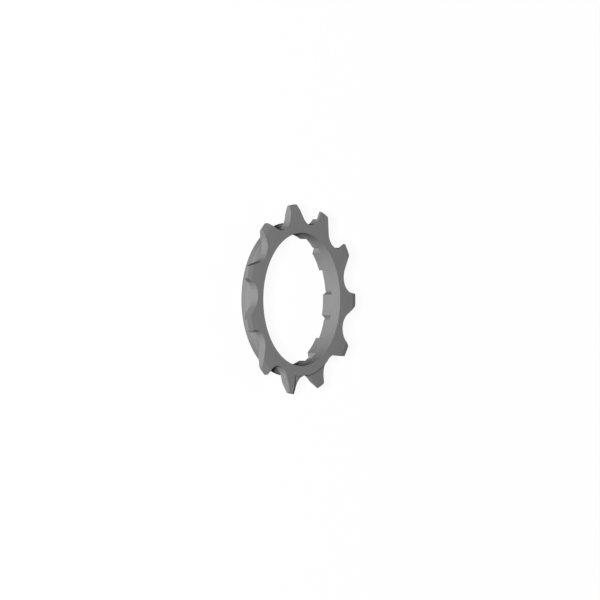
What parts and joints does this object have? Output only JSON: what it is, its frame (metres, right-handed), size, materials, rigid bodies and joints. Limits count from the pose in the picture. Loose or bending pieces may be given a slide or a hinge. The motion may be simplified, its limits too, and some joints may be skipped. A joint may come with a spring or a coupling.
{
  "type": "cassette cog",
  "caption": "Small steel cassette cog for a bicycle chain, with shaped teeth, a splined socket and a spacer collar in one piece.",
  "frame": {"origin": "on the cog's axis, in the plane of the collar's free end", "axes": "+Z along the axis from the collar's free end to the toothed front face; +X through the middle of the first tooth"},
  "size_m": [0.0461, 0.0465, 0.0051],
  "materials": {
    "steel": "matt grey steel, as pressed and tumbled"
  },
  "bodies": {
    "root": {"cog": "steel"}
  },
  "joints": []
}
